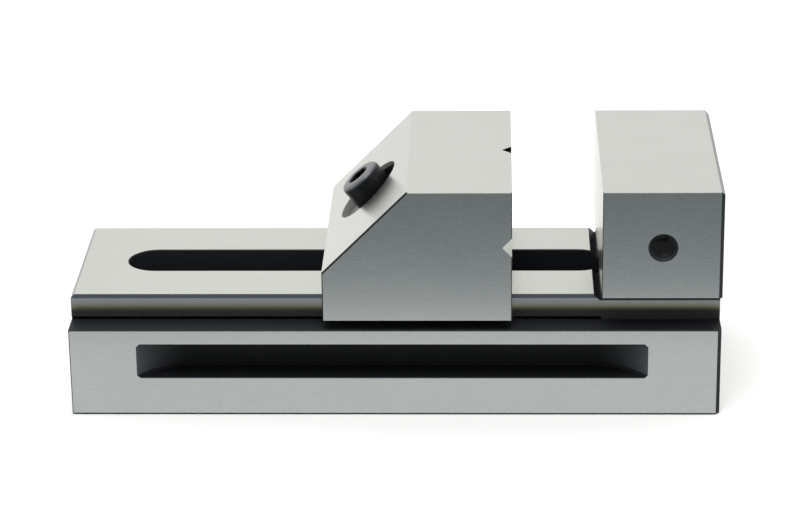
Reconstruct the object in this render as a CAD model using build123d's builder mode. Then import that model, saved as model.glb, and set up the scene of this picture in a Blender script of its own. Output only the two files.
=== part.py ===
"""Toolmakers vise, 73 mm wide, with a pull-down movable jaw.

Millimetres. X runs along the bed with the fixed jaw at +X, Y across it, Z up.
The origin is the middle of the base's underside. The jaws stand part open,
with the clamp screw slackened and the cross pin just clear of its notch.
"""

import os
from math import cos, pi, radians, sin, sqrt, tan

from build123d import *

# Body: bed, rail and fixed jaw ground from one block
BODY_LENGTH = 190.0
BODY_WIDTH = 73.0
BED_HEIGHT = 26.8
RAIL_WIDTH = 56.0
RAIL_TOP = 34.4
RAIL_CHAMFER = 0.95
JAW_HEIGHT = 35.0
FIXED_JAW_THICKNESS = 34.8
OVERHANG_HEIGHT = 2.2
EDGE_BREAK = 0.3
EDGE_ANGLE = 45.0
SLOPE_EDGE_BREAK = 0.5
GRIP_EDGE_BREAK = 0.2
END_CHAMFER = 1.1
RELIEF_WIDTH = 2.8
RELIEF_DEPTH = 1.2

# Slot through the rail, and the channel under it that is open below
SLOT_WIDTH = 17.0
SLOT_START = 14.2
SLOT_END_UNDER_JAW = 2.5
RAIL_THICKNESS = 15.0
CHANNEL_WIDTH = 33.0
CHANNEL_START = 22.0
CHANNEL_PAST_FACE = 6.0
CHANNEL_CORNER = 4.0

# Notches across the channel's ceiling
NOTCH_PITCH = 12.7
NOTCHES_TO_CLOSE = 2
NOTCHES_TO_OPEN = 6
NOTCH_CLEARANCE = 0.3

# Grooves along both sides for strap clamps, and the work stop hole in each side
CLAMP_GROOVE_LENGTH = 149.3
CLAMP_GROOVE_START = 19.6
CLAMP_GROOVE_HEIGHT = 10.4
CLAMP_GROOVE_FLOOR = 11.8
CLAMP_GROOVE_DEPTH = 10.0
CLAMP_GROOVE_CUTTER_RADIUS = 22.0
CLAMP_GROOVE_CORNER = 0.7
STOP_HOLE_RADIUS = 3.4
STOP_HOLE_MOUTH_RADIUS = 4.3
STOP_HOLE_MOUTH_ANGLE = 90.0
STOP_HOLE_DEPTH = 16.0
STOP_HOLE_HEIGHT = 18.0

# Movable jaw
MOVABLE_JAW_LENGTH = 55.0
MOVABLE_JAW_TOP_LENGTH = 30.3
SKIRT_DEPTH = 4.8
CLOSED_GAP = 0.5
VEE_WIDTH = 5.8
VEE_FLAT = 0.5
VEE_HEIGHT = 18.0
COUNTERBORE_RADIUS = 11.25
COUNTERBORE_DEPTH = 3.3

# Clamp screw, M8 socket head cap screw
SCREW_RISE = 50.0
SCREW_ROCK = 5.0
SCREW_RADIUS = 4.0
SCREW_LENGTH = 45.0
SCREW_PITCH = 1.25
HEAD_RADIUS = 6.5
HEAD_HEIGHT = 8.0
HEAD_ROUND = 1.4
HEAD_ABOVE_SLOPE = 5.4
SEAT_UP_SLOPE = 1.2
SOCKET_ACROSS_FLATS = 6.0
SOCKET_DEPTH = 4.0

# Ball washer under the head
WASHER_RADIUS = 9.8
WASHER_THICKNESS = 4.8
WASHER_HOLE_RADIUS = 4.2

# Draw nut, cross pin and its lock screw
NUT_RADIUS = 8.0
NUT_ABOVE_PIN = 16.0
NUT_BELOW_PIN = 7.0
NUT_CHAMFER = 0.8
NUT_TRAVEL = 3.26
PIN_RADIUS = 4.0
PIN_LENGTH = 32.0
PIN_CHAMFER = 0.6
PIN_BELOW_CEILING = 0.35
LOCK_SCREW_RADIUS = 1.5
LOCK_SCREW_LENGTH = 2.8
LOCK_SOCKET_ACROSS_FLATS = 1.5
LOCK_SOCKET_DEPTH = 1.2

# Lift spring round the screw, its wire laid out as short straight runs
SPRING_WIRE_RADIUS = 0.6
SPRING_RADIUS = 5.7
SPRING_COILS = 6
SPRING_CLOSED_COILS = 1
SPRING_CLOSED_PITCH = 1.3
SPRING_SEAT_DEPTH = 18.0
RUNS_PER_COIL = 10
WIRE_SIDES = 6

# Clearances
RUNNING_FIT = 0.05
PIN_FIT = 0.02
SCREW_PASSAGE = 0.7
NUT_PASSAGE = 0.75

# Where the jaws and the slope stand at rest
bed_end = BODY_LENGTH / 2
side_face = BODY_WIDTH / 2
jaw_top = RAIL_TOP + JAW_HEIGHT
overhang = RAIL_TOP + OVERHANG_HEIGHT
fixed_face = bed_end - FIXED_JAW_THICKNESS
moving_face = fixed_face - CLOSED_GAP - NOTCHES_TO_CLOSE * NOTCH_PITCH
jaw_back = moving_face - MOVABLE_JAW_LENGTH
slope_run = MOVABLE_JAW_LENGTH - MOVABLE_JAW_TOP_LENGTH
slope_foot = jaw_top - slope_run
skirt_bottom = RAIL_TOP - SKIRT_DEPTH
jaw_underside = RAIL_TOP + RUNNING_FIT
ceiling = RAIL_TOP - RAIL_THICKNESS

# The slope and the ball seat's centre, which is also the middle of the head's top
slope_middle = Vector(jaw_back + slope_run / 2, 0, jaw_top - slope_run / 2)
slope_out = Vector(-1, 0, 1).normalized()
slope_up = Vector(1, 0, 1).normalized()
rock_centre = slope_middle + slope_out * HEAD_ABOVE_SLOPE + slope_up * SEAT_UP_SLOPE
ball_radius = HEAD_HEIGHT + WASHER_THICKNESS

# The screw's axis, down from the head, the way its lower end swings, and its axis when rocked
screw_down = Vector(cos(radians(SCREW_RISE)), 0, -sin(radians(SCREW_RISE)))
rock_way = Vector(-sin(radians(SCREW_RISE)), 0, -cos(radians(SCREW_RISE)))
rocked_down = screw_down * cos(radians(SCREW_ROCK)) + rock_way * sin(radians(SCREW_ROCK))

# Depths along the screw's axis, from the rocking centre
pin_rest_height = ceiling - PIN_BELOW_CEILING - PIN_RADIUS
pin_depth = (rock_centre.Z - pin_rest_height) / sin(radians(SCREW_RISE))
nut_top_depth = pin_depth - NUT_ABOVE_PIN
nut_bottom_depth = pin_depth + NUT_BELOW_PIN
spring_seat_depth = HEAD_HEIGHT + SPRING_SEAT_DEPTH
floor_depth = HEAD_ABOVE_SLOPE + COUNTERBORE_DEPTH
spring_height = nut_top_depth - spring_seat_depth - 2 * SPRING_WIRE_RADIUS


def screw_plane(depth: float) -> Plane:
    """Plane square to the screw's axis, with X the way the screw rocks."""
    return Plane(origin=rock_centre + screw_down * depth, x_dir=rock_way, z_dir=screw_down)


def side_plane(side: int) -> Plane:
    """Plane on one side face of the body, with Z outwards. Side is -1 or 1."""
    return Plane(origin=(0, side * side_face, 0), x_dir=(1, 0, 0), z_dir=(0, side, 0))


def wire_depth(turn: float) -> float:
    """How far down the spring its wire has run after some turns, with both ends closed."""
    open_coils = SPRING_COILS - 2 * SPRING_CLOSED_COILS
    closed_height = 2 * SPRING_CLOSED_COILS * SPRING_CLOSED_PITCH
    open_pitch = (spring_height - closed_height) / open_coils
    open_turns = min(max(turn - SPRING_CLOSED_COILS, 0), open_coils)
    return open_turns * open_pitch + (turn - open_turns) * SPRING_CLOSED_PITCH


def wire_point(turn: float) -> Vector:
    """Middle of the spring's wire after some turns, on the plane of the spring's seat."""
    angle = 2 * pi * turn
    depth = SPRING_WIRE_RADIUS + wire_depth(turn)
    return Vector(SPRING_RADIUS * cos(angle), SPRING_RADIUS * sin(angle), depth)


def on_plane(face: Face, x: float) -> bool:
    """Whether a face's middle stands at this X."""
    return abs(face.center().X - x) < RUNNING_FIT


def at_height(edge: Edge, z: float) -> bool:
    """Whether an edge's middle is at this Z."""
    return abs(edge.center().Z - z) < RUNNING_FIT


def leans(edge: Edge) -> bool:
    """Whether an edge rises at a slant, as the jaw's slope does."""
    way = edge.tangent_at(0.5)
    return abs(abs(way.X) - abs(way.Z)) < RUNNING_FIT and abs(way.Y) < RUNNING_FIT


def on_side_face(edge: Edge) -> bool:
    """Whether an edge lies in one of the body's two side faces."""
    return abs(abs(edge.center().Y) - side_face) < RUNNING_FIT


# Body: bed, rail, neck and fixed jaw
with BuildPart() as body:
    with BuildSketch(Plane.XY):
        bed = Rectangle(BODY_LENGTH, BODY_WIDTH)
        chamfer(bed.vertices().group_by(Axis.X)[0], EDGE_BREAK)
        chamfer(bed.vertices().group_by(Axis.X)[-1], END_CHAMFER)
    extrude(amount=BED_HEIGHT)
    chamfer(body.faces().sort_by(Axis.Z)[0].edges(), EDGE_BREAK)
    chamfer(body.faces().sort_by(Axis.Z)[-1].edges().filter_by(Axis.X), EDGE_BREAK)
    with BuildSketch(Plane.YZ.offset(-bed_end)):
        with Locations((0, BED_HEIGHT)):
            rail = Rectangle(RAIL_WIDTH, RAIL_TOP - BED_HEIGHT, align=(Align.CENTER, Align.MIN))
        # Chamfers along the top, and a fine relief of the same size along the foot
        chamfer(rail.vertices(), RAIL_CHAMFER)
    extrude(amount=BODY_LENGTH)
    rail_ends = body.edges().filter_by(Axis.Y).filter_by(lambda edge: at_height(edge, RAIL_TOP))
    chamfer(rail_ends.sort_by(Axis.X)[0], RAIL_CHAMFER)
    with BuildSketch(Plane.XY.offset(BED_HEIGHT)):
        with Locations((bed_end, 0)):
            Rectangle(FIXED_JAW_THICKNESS, RAIL_WIDTH, align=(Align.MAX, Align.CENTER))
    extrude(amount=overhang - BED_HEIGHT)
    with BuildSketch(Plane.XY.offset(overhang)):
        with Locations((bed_end, 0)):
            jaw = Rectangle(FIXED_JAW_THICKNESS, BODY_WIDTH, align=(Align.MAX, Align.CENTER))
        chamfer(jaw.vertices().group_by(Axis.X)[-1], END_CHAMFER)
    extrude(amount=jaw_top - overhang)
    chamfer(body.faces().sort_by(Axis.Z)[-1].edges().filter_by(Axis.X), GRIP_EDGE_BREAK)
    cross_edges = body.faces().sort_by(Axis.Z)[-1].edges().filter_by(Axis.Y)
    chamfer(cross_edges.sort_by(Axis.X)[-1], END_CHAMFER)
    grip_face = body.faces().filter_by(Axis.X).filter_by(lambda face: on_plane(face, fixed_face))
    chamfer(grip_face.edges().filter_by(Axis.Z), GRIP_EDGE_BREAK)
    eaves = body.edges().filter_by(Axis.X).filter_by(lambda edge: at_height(edge, overhang))
    chamfer(eaves.group_by(Axis.Y)[0] + eaves.group_by(Axis.Y)[-1], EDGE_BREAK)

    # Slanting relief in the corner between the rail and the fixed jaw's face
    corner = Plane(origin=(fixed_face, 0, RAIL_TOP), x_dir=(1, 0, -1), z_dir=(0, -1, 0))
    with BuildSketch(corner):
        with Locations((RELIEF_DEPTH, 0)):
            Rectangle(RELIEF_DEPTH + RELIEF_WIDTH, RELIEF_WIDTH, align=(Align.MAX, Align.CENTER))
    extrude(amount=RAIL_WIDTH / 2, both=True, mode=Mode.SUBTRACT)

    # Slot for the draw nut, from near the open end to just under the fixed jaw
    slot_left = SLOT_START - bed_end
    slot_right = fixed_face + SLOT_END_UNDER_JAW
    with BuildSketch(Plane.XY.offset(ceiling)):
        with Locations(((slot_left + slot_right) / 2, 0)):
            SlotOverall(slot_right - slot_left, SLOT_WIDTH)
    extrude(amount=RAIL_THICKNESS, mode=Mode.SUBTRACT)
    with BuildSketch(Plane.XY.offset(RAIL_TOP)):
        with Locations(((slot_left + slot_right) / 2, 0)):
            SlotOverall(slot_right - slot_left + 2 * EDGE_BREAK, SLOT_WIDTH + 2 * EDGE_BREAK)
    extrude(amount=-EDGE_BREAK, taper=EDGE_ANGLE, mode=Mode.SUBTRACT)

    # Channel for the cross pin, milled from below
    channel_left = CHANNEL_START - bed_end
    channel_right = fixed_face + CHANNEL_PAST_FACE
    with BuildSketch(Plane.XY):
        with Locations(((channel_left + channel_right) / 2, 0)):
            RectangleRounded(channel_right - channel_left, CHANNEL_WIDTH, CHANNEL_CORNER)
    extrude(amount=ceiling, mode=Mode.SUBTRACT)

    # Half-round notches where the drawn-up cross pin seats
    drawn_pin = rock_centre + screw_down * (pin_depth - NUT_TRAVEL)
    notch_numbers = range(-NOTCHES_TO_OPEN, NOTCHES_TO_CLOSE + 1)
    notch_points = [(drawn_pin.X + number * NOTCH_PITCH, drawn_pin.Z) for number in notch_numbers]
    with BuildSketch(Plane.XZ):
        with Locations(*notch_points):
            Circle(PIN_RADIUS + NOTCH_CLEARANCE)
    extrude(amount=CHANNEL_WIDTH / 2, both=True, mode=Mode.SUBTRACT)

    # Strap clamp grooves with ends as round as the disc cutter that sinks them
    centre_outside = CLAMP_GROOVE_CUTTER_RADIUS - CLAMP_GROOVE_DEPTH
    end_reach = sqrt(CLAMP_GROOVE_CUTTER_RADIUS**2 - centre_outside**2)
    groove_middle = CLAMP_GROOVE_START - bed_end + CLAMP_GROOVE_LENGTH / 2
    cutter_run = CLAMP_GROOVE_LENGTH - 2 * end_reach
    cutter_line = side_face + centre_outside
    with BuildPart(mode=Mode.SUBTRACT) as cutter:
        with BuildSketch(Plane.XY.offset(CLAMP_GROOVE_FLOOR)):
            with Locations((groove_middle, -cutter_line), (groove_middle, cutter_line)):
                SlotCenterToCenter(cutter_run, 2 * CLAMP_GROOVE_CUTTER_RADIUS)
        extrude(amount=CLAMP_GROOVE_HEIGHT)
        chamfer(cutter.faces().filter_by(Axis.Z).edges(), CLAMP_GROOVE_CORNER)
    groove_top = CLAMP_GROOVE_FLOOR + CLAMP_GROOVE_HEIGHT
    long_edges = body.edges().filter_by(Axis.X).filter_by(on_side_face)
    lower_lips = long_edges.filter_by(lambda edge: at_height(edge, CLAMP_GROOVE_FLOOR))
    upper_lips = long_edges.filter_by(lambda edge: at_height(edge, groove_top))
    chamfer(lower_lips + upper_lips, GRIP_EDGE_BREAK)

    # Tapped work stop hole in each side of the fixed jaw
    for side in (-1, 1):
        mouth = side_plane(side)
        hole_x = fixed_face + FIXED_JAW_THICKNESS / 2
        hole_point = Vector(hole_x, side * side_face, RAIL_TOP + STOP_HOLE_HEIGHT)
        with Locations(Plane(origin=hole_point, x_dir=mouth.x_dir, z_dir=mouth.z_dir)):
            CounterSinkHole(
                STOP_HOLE_RADIUS,
                STOP_HOLE_MOUTH_RADIUS,
                STOP_HOLE_DEPTH,
                STOP_HOLE_MOUTH_ANGLE,
            )
body.part.label = "body"


# Movable jaw: sloping back, skirts that straddle the rail, vees in its face
with BuildPart() as movable_jaw:
    with BuildSketch(Plane.XZ):
        with BuildLine():
            Polyline(
                (jaw_back, skirt_bottom),
                (moving_face, skirt_bottom),
                (moving_face, jaw_top),
                (jaw_back + slope_run, jaw_top),
                (jaw_back, slope_foot),
                close=True,
            )
        make_face()
    extrude(amount=side_face, both=True)
    roof_edges = movable_jaw.faces().sort_by(Axis.Z)[-1].edges().filter_by(Axis.X)
    chamfer(roof_edges, GRIP_EDGE_BREAK)
    outline = movable_jaw.faces().filter_by(Axis.Y).edges()
    straight_edges = outline.filter_by(Axis.X) + outline.filter_by(Axis.Z)
    lower_edges = straight_edges.filter_by(lambda edge: edge.center().Z < slope_middle.Z)
    chamfer(lower_edges, EDGE_BREAK)
    outline = movable_jaw.faces().filter_by(Axis.Y).edges()
    chamfer(outline.filter_by(leans), SLOPE_EDGE_BREAK)

    # Way for the rail between the skirts
    with BuildSketch(Plane.YZ.offset(jaw_back)):
        with Locations((0, skirt_bottom)):
            Rectangle(
                RAIL_WIDTH + 2 * RUNNING_FIT,
                jaw_underside - skirt_bottom,
                align=(Align.CENTER, Align.MIN),
            )
    extrude(amount=MOVABLE_JAW_LENGTH, mode=Mode.SUBTRACT)

    # Upright and level vee grooves for round work
    vee_depth = (VEE_WIDTH - VEE_FLAT) / 2
    with BuildSketch(Plane.XY.offset(jaw_underside)):
        with BuildLine():
            Polyline(
                (moving_face, -VEE_WIDTH / 2),
                (moving_face, VEE_WIDTH / 2),
                (moving_face - vee_depth, VEE_FLAT / 2),
                (moving_face - vee_depth, -VEE_FLAT / 2),
                close=True,
            )
        make_face()
    extrude(amount=JAW_HEIGHT, mode=Mode.SUBTRACT)
    vee_level = RAIL_TOP + VEE_HEIGHT
    with BuildSketch(Plane.XZ):
        with BuildLine():
            Polyline(
                (moving_face, vee_level - VEE_WIDTH / 2),
                (moving_face, vee_level + VEE_WIDTH / 2),
                (moving_face - vee_depth, vee_level + VEE_FLAT / 2),
                (moving_face - vee_depth, vee_level - VEE_FLAT / 2),
                close=True,
            )
        make_face()
    extrude(amount=side_face, both=True, mode=Mode.SUBTRACT)

    # Counterbore square to the slope, with a spherical seat for the ball washer
    with BuildSketch(Plane(origin=slope_middle, x_dir=slope_up, z_dir=slope_out)):
        Circle(COUNTERBORE_RADIUS)
    extrude(amount=-COUNTERBORE_DEPTH, mode=Mode.SUBTRACT)
    with BuildSketch(Plane(origin=rock_centre, x_dir=slope_up, z_dir=(0, 1, 0))):
        Circle(ball_radius + RUNNING_FIT)
        with Locations((0, floor_depth)):
            Rectangle(2 * ball_radius, ball_radius, align=(Align.MIN, Align.MIN), mode=Mode.INTERSECT)
    revolve(axis=Axis(rock_centre, slope_out), mode=Mode.SUBTRACT)

    # Tapering passage: a bore for the screw at each end of its rock, joined by a wedge
    passage_radius = SCREW_RADIUS + SCREW_PASSAGE
    for bore_down in (screw_down, rocked_down):
        with BuildSketch(Plane(origin=rock_centre + bore_down * HEAD_HEIGHT, z_dir=bore_down)):
            Circle(passage_radius)
        extrude(amount=nut_top_depth - HEAD_HEIGHT, mode=Mode.SUBTRACT)
    straight_end = rock_centre + screw_down * nut_top_depth
    rocked_end = rock_centre + rocked_down * nut_top_depth
    with BuildSketch(Plane.XZ):
        with BuildLine():
            wedge = (rock_centre, straight_end, rocked_end)
            Polyline(*[(point.X, point.Z) for point in wedge], close=True)
        make_face()
    extrude(amount=passage_radius, both=True, mode=Mode.SUBTRACT)

    # Wide bore for the spring and the nut
    bore_radius = NUT_RADIUS + NUT_PASSAGE
    bore_room = nut_top_depth * tan(radians(SCREW_ROCK))
    with BuildSketch(screw_plane(spring_seat_depth)):
        with Locations((bore_room / 2, 0)):
            SlotCenterToCenter(bore_room, 2 * bore_radius)
    extrude(amount=nut_bottom_depth - spring_seat_depth, mode=Mode.SUBTRACT)
movable_jaw.part.label = "movable_jaw"


# Ball washer: flat under the screw's head, spherical below
with BuildPart() as ball_washer:
    with BuildSketch(screw_plane(HEAD_HEIGHT)):
        Circle(WASHER_RADIUS)
        Circle(WASHER_HOLE_RADIUS, mode=Mode.SUBTRACT)
    extrude(amount=WASHER_THICKNESS)
    with Locations(rock_centre):
        Sphere(ball_radius, mode=Mode.INTERSECT)
ball_washer.part.label = "ball_washer"


# Clamp screw: rounded head with a hexagon socket, plain where the thread runs
with BuildPart() as clamp_screw:
    with BuildSketch(screw_plane(0)):
        Circle(HEAD_RADIUS)
    extrude(amount=HEAD_HEIGHT)
    rim = clamp_screw.edges().sort_by(lambda edge: edge.center().Z)[-1]
    fillet(rim, HEAD_ROUND)
    with BuildSketch(screw_plane(HEAD_HEIGHT)):
        Circle(SCREW_RADIUS)
    extrude(amount=SCREW_LENGTH)
    tip = clamp_screw.faces().sort_by(Axis(rock_centre, screw_down))[-1]
    chamfer(tip.edges(), SCREW_PITCH / 2)
    with BuildSketch(screw_plane(0)):
        RegularPolygon(SOCKET_ACROSS_FLATS / 2, 6, major_radius=False)
    extrude(amount=SOCKET_DEPTH, mode=Mode.SUBTRACT)
clamp_screw.part.label = "clamp_screw"


# Draw nut: round bar tapped for the screw and cross-bored for the pin
with BuildPart() as draw_nut:
    with BuildSketch(screw_plane(nut_top_depth)):
        Circle(NUT_RADIUS)
    extrude(amount=nut_bottom_depth - nut_top_depth)
    chamfer(draw_nut.edges().filter_by(GeomType.CIRCLE), NUT_CHAMFER)
    with BuildSketch(screw_plane(nut_top_depth)):
        Circle(SCREW_RADIUS + RUNNING_FIT)
    extrude(amount=NUT_ABOVE_PIN, mode=Mode.SUBTRACT)
    pin_point = rock_centre + screw_down * pin_depth
    with BuildSketch(Plane(origin=pin_point, x_dir=(1, 0, 0), z_dir=(0, -1, 0))):
        Circle(PIN_RADIUS + PIN_FIT)
    extrude(amount=NUT_RADIUS, both=True, mode=Mode.SUBTRACT)
    with BuildSketch(screw_plane(pin_depth)):
        Circle(LOCK_SCREW_RADIUS + PIN_FIT)
    extrude(amount=NUT_BELOW_PIN, mode=Mode.SUBTRACT)
draw_nut.part.label = "draw_nut"


# Cross pin that bears in the notches on both sides of the slot
with BuildPart() as cross_pin:
    with BuildSketch(Plane(origin=pin_point, x_dir=(1, 0, 0), z_dir=(0, -1, 0))):
        Circle(PIN_RADIUS)
    extrude(amount=PIN_LENGTH / 2, both=True)
    chamfer(cross_pin.edges().filter_by(GeomType.CIRCLE), PIN_CHAMFER)
cross_pin.part.label = "cross_pin"


# Lock screw that holds the cross pin in the nut
with BuildPart() as lock_screw:
    with BuildSketch(screw_plane(pin_depth + PIN_RADIUS)):
        Circle(LOCK_SCREW_RADIUS)
    extrude(amount=LOCK_SCREW_LENGTH)
    with BuildSketch(screw_plane(pin_depth + PIN_RADIUS + LOCK_SCREW_LENGTH)):
        RegularPolygon(LOCK_SOCKET_ACROSS_FLATS / 2, 6, major_radius=False)
    extrude(amount=-LOCK_SOCKET_DEPTH, mode=Mode.SUBTRACT)
lock_screw.part.label = "lock_screw"


# Lift spring: pushes the nut down, so the slack pin drops out of its notch
spring_seat = screw_plane(spring_seat_depth)
with BuildPart() as lift_spring:
    for station in range(SPRING_COILS * RUNS_PER_COIL + 1):
        turn = station / RUNS_PER_COIL
        middle = wire_point(turn)
        ahead = wire_point(turn + 1 / RUNS_PER_COIL) - wire_point(turn - 1 / RUNS_PER_COIL)
        section = Plane(origin=middle, x_dir=(middle.X, middle.Y, 0), z_dir=ahead)
        with BuildSketch(spring_seat * section.location):
            RegularPolygon(SPRING_WIRE_RADIUS, WIRE_SIDES)
    loft(ruled=True)
lift_spring.part.label = "lift_spring"


pieces = [body, movable_jaw, ball_washer, clamp_screw, draw_nut, cross_pin, lock_screw, lift_spring]
os.makedirs("parts", exist_ok=True)
for piece in pieces:
    export_step(piece.part, f"parts/{piece.part.label}.step")

turns = NUT_TRAVEL / SCREW_PITCH
print(f"jaw gap {fixed_face - moving_face:.3f}")
print(f"jaw slide {-NOTCHES_TO_OPEN * NOTCH_PITCH:.3f} to {NOTCHES_TO_CLOSE * NOTCH_PITCH:.3f}")
print(f"rock centre {rock_centre.X:.4f} {rock_centre.Z:.4f}")
print(f"screw axis {screw_down.X:.6f} {screw_down.Z:.6f}")
print(f"nut travel {NUT_TRAVEL:.3f}, screw turn {turns * 2 * pi:.4f} rad")
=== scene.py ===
"""Toolmakers vise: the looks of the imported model, its studio and its camera.

Blender's unit is the metre. Sizes are written in millimetres and pass through MM.
X runs along the bed with the fixed jaw at +X, Y across it, Z up, as in the model.
"""

import logging
import math
from dataclasses import dataclass
from enum import Enum
from functools import cached_property
from typing import Any, Callable, Optional, Sequence

import bmesh
import bpy
from mathutils import Matrix, Vector


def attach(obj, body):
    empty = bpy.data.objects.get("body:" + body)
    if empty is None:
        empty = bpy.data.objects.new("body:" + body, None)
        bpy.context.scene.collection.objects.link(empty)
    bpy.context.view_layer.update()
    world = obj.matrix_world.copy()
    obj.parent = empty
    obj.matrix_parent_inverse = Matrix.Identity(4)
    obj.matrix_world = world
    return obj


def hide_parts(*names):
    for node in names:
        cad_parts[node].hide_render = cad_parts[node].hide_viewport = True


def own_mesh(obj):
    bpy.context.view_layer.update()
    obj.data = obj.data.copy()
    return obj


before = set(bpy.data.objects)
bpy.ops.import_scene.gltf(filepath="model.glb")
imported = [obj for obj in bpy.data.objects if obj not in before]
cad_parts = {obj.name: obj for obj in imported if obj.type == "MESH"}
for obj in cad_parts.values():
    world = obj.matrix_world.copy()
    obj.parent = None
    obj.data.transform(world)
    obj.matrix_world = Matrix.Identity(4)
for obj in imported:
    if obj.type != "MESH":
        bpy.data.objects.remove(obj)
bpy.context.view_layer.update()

MM = 0.001
PHOTO_WIDTH = 798
SENSOR_WIDTH = 36.0
LOG = logging.getLogger("vise")

Object = bpy.types.Object
Material = bpy.types.Material
Tree = bpy.types.NodeTree
Node = bpy.types.Node
Socket = bpy.types.NodeSocket
Point = tuple[float, float, float]
Span = tuple[float, float]

# The sine and cosine of 45 degrees, the lean of chamfers and of the jaw's slope
DIAGONAL = math.sqrt(0.5)
# Points closer than this, in metres, are one
MERGE_WITHIN = 1e-7
# Masks and shares: rising, and falling
RISING = (0.0, 1.0)
FALLING = (1.0, 0.0)
# Where nearly all of a noise texture's values lie
NOISE_SPAN = (0.3, 0.7)
# The tones that the wheel's lines and its mottle are spread over
LINE_TONES = (0.1, 0.9)
MOTTLE_TONES = (-0.1, 1.1)
# Vector sums that give a number
NUMBER_SUMS = ("DOT_PRODUCT", "LENGTH")
# How many sides the sections of a thread's ridge and of a round wire have
RIDGE_SIDES = 4
WIRE_SIDES = 16


# Small tools


def linear(hex_colour: str) -> tuple[float, float, float, float]:
    """Turn an sRGB hex colour into the linear colour that a shader takes.

    Args:
        hex_colour: A # and six hex digits.

    Returns:
        Red, green, blue and a full alpha.
    """
    channels = []
    for start in (1, 3, 5):
        value = int(hex_colour[start : start + 2], 16) / 255
        low = value / 12.92
        high = ((value + 0.055) / 1.055) ** 2.4
        channels.append(low if value <= 0.04045 else high)
    return (*channels, 1.0)


def add_node(
    tree: Tree,
    kind: str,
    settings: Optional[dict[str, Any]] = None,
    inputs: Optional[dict[Any, Any]] = None,
) -> Node:
    """Add one node with its settings, its values and its links.

    Args:
        tree: The tree that the node goes into.
        kind: The node's type name.
        settings: The node's own properties by name.
        inputs: Values, sockets or nodes by input name or index. A node stands for its first output.

    Returns:
        The new node.
    """
    node = tree.nodes.new(kind)
    for name, value in (settings or {}).items():
        setattr(node, name, value)
    for key, value in (inputs or {}).items():
        if isinstance(value, Node):
            value = value.outputs[0]
        if isinstance(value, Socket):
            tree.links.new(value, node.inputs[key])
        else:
            node.inputs[key].default_value = value
    return node


def calculate(tree: Tree, operation: str, *values: Any) -> Socket:
    """Add one sum of numbers.

    Args:
        tree: The tree that it goes into.
        operation: The Math node's operation.
        values: Its numbers or sockets in order.

    Returns:
        The result's socket.
    """
    inputs = dict(enumerate(values))
    return add_node(tree, "ShaderNodeMath", {"operation": operation}, inputs).outputs[0]


def mesh_object(name: str, vertices: Sequence = (), faces: Sequence = ()) -> Object:
    """Make a mesh object at the origin.

    Args:
        name: The object's and the mesh's name.
        vertices: Points in metres.
        faces: Vertex numbers of each face.

    Returns:
        The object, linked to the scene.
    """
    mesh = bpy.data.meshes.new(name)
    mesh.from_pydata([tuple(v) for v in vertices], [], faces)
    made = bpy.data.objects.new(name, mesh)
    bpy.context.scene.collection.objects.link(made)
    return made


def outward(mesh: bpy.types.Mesh) -> None:
    """Merge doubles and turn every face outwards."""
    work = bmesh.new()
    work.from_mesh(mesh)
    bmesh.ops.remove_doubles(work, verts=work.verts, dist=MERGE_WITHIN)
    bmesh.ops.recalc_face_normals(work, faces=work.faces)
    work.to_mesh(mesh)
    work.free()


def smooth(mesh: bpy.types.Mesh, sharp_over: float) -> None:
    """Shade a mesh smooth, with edges over an angle in degrees kept sharp."""
    mesh.shade_smooth()
    mesh.set_sharp_from_angle(angle=math.radians(sharp_over))


# The object's own places


class Body(Enum):
    """The model's moving bodies that the pieces made here ride on."""

    BED = "bed"
    SWIVEL = "screw_swivel"
    SCREW = "screw"


class Slot(Enum):
    """The record's material slots."""

    GROUND = "ground_steel"
    BLACK = "black_oxide_steel"
    PLAIN = "plain_steel"
    SPRING = "spring_steel"


@dataclass(frozen=True)
class ScrewAxis:
    """The clamp screw's axis in the model: its head's top, and the way down it."""

    centre: Vector = Vector((-11.3198, 0.0, 61.7169))
    rise: float = 50.0

    @property
    def down(self) -> Vector:
        """The unit vector down the axis, from the head to the nut."""
        return Vector((math.cos(math.radians(self.rise)), 0, -math.sin(math.radians(self.rise))))

    @property
    def placement(self) -> Matrix:
        """The matrix that puts a piece built down +Z, in metres, on the axis."""
        across = Vector((-self.down.z, 0, self.down.x)) * -1
        side = self.down.cross(across)
        turn = Matrix((across, side, self.down)).transposed().to_4x4()
        return Matrix.Translation(self.centre * MM) @ turn


@dataclass(frozen=True)
class Box:
    """An axis-aligned region of the object in millimetres, as a mask's bounds."""

    low: Point
    high: Point
    both_sides: bool = False

    @property
    def middle(self) -> tuple[float, ...]:
        """The middle of the box."""
        return tuple((a + b) / 2 for a, b in zip(self.low, self.high))

    @property
    def half(self) -> tuple[float, ...]:
        """Half the box's size along each axis."""
        return tuple((b - a) / 2 for a, b in zip(self.low, self.high))


@dataclass(frozen=True)
class Pocket:
    """A round pocket in millimetres: the middle of its mouth and the way out of it."""

    mouth: Point
    out: Point
    radius: float
    shallow: float
    deep: float


# The tapped hole in each side of the fixed jaw, and the distances from the middle plane over
# which its wall passes from bare cut metal to the scale round its mouth
TAPPED_HOLE = Box((73.2, 18.0, 48.0), (82.0, 36.46, 56.8), both_sides=True)
TAPPED_FADE = (20.0, 34.5)

# The side grooves, painted black deep inside as painted shade, and the distances from the middle
# plane over which their upright walls and round ends turn lighter towards the mouth, a painted
# reflection
SIDE_GROOVE = Box((-80.0, 24.0, 11.7), (80.0, 36.32, 22.3), both_sides=True)
GROOVE_GLARE = (27.2, 36.0)
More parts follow.
